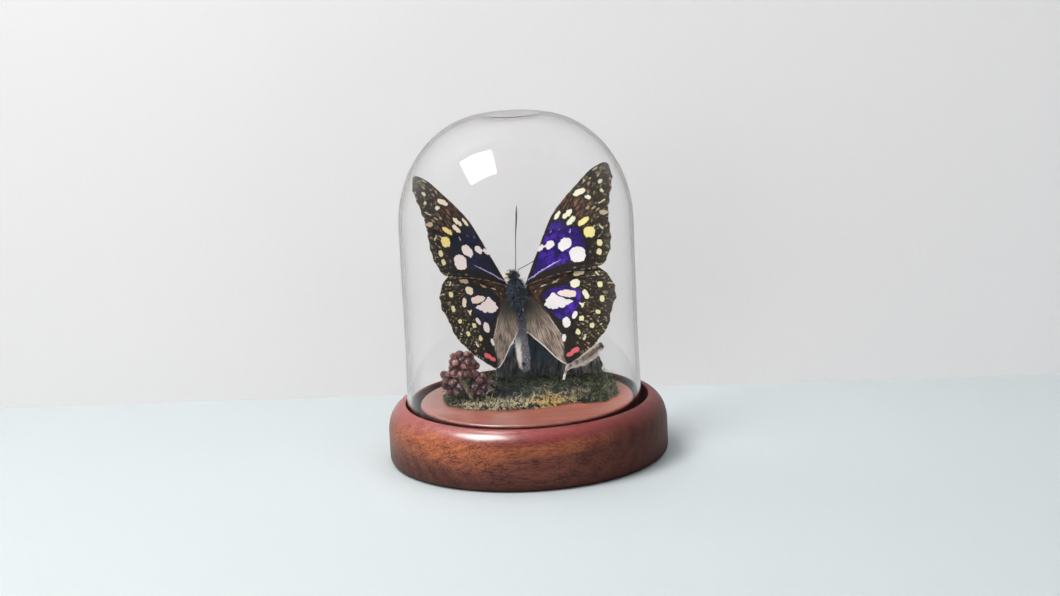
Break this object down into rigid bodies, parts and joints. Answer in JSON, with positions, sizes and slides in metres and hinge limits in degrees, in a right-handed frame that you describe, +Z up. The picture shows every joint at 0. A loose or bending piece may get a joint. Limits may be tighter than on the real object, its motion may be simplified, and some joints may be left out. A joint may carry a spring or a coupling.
{
  "type": "mounted butterfly under glass dome",
  "caption": "Mounted violet-winged butterfly with moss, bark, a dry leaf and a seed sprig under a clear glass dome on a round turned wooden base.",
  "frame": {"origin": "centre of the wooden base's underside, on the surface it stands on", "axes": "+Z up along the base's and the dome's axis; the butterfly's upper side faces -Y; +X to the viewer's right"},
  "size_m": [0.1, 0.1, 0.1231],
  "materials": {
    "stained_wood": "red-brown stained and lacquered hardwood, satin",
    "clear_glass": "clear polished blown glass",
    "dried_moss": "dried moss, yellow-green at the front and blue-green behind, fibrous",
    "dark_bark": "raw dark bark with upright grain",
    "dry_leaf": "dry curled leaf, matt",
    "twig": "bare dry twig",
    "seed_capsule": "woody red-brown seed capsules, matt",
    "body_down": "blue-grey insect down",
    "insect_eye": "amber-brown compound eye, semi-gloss",
    "wing_scales": "black-brown and violet-blue wing scales with white and yellow spots, slight sheen",
    "antenna": "black chitin, satin"
  },
  "bodies": {
    "root": {"wooden_base": "stained_wood", "glass_dome": "clear_glass", "moss_bed": "dried_moss", "bark_piece": "dark_bark", "dry_leaf": "dry_leaf", "sprig_stem": "twig", "capsule_cluster_top": "seed_capsule", "capsule_cluster_left": "seed_capsule", "capsule_cluster_low": "seed_capsule", "capsule_cluster_right": "seed_capsule", "butterfly_head": "body_down", "eye_left": "insect_eye", "eye_right": "insect_eye", "butterfly_thorax": "body_down", "butterfly_abdomen": "body_down", "forewing_left": "wing_scales", "forewing_right": "wing_scales", "hindwing_left": "wing_scales", "hindwing_right": "wing_scales", "antenna_left": "antenna", "antenna_right": "antenna"}
  },
  "joints": []
}
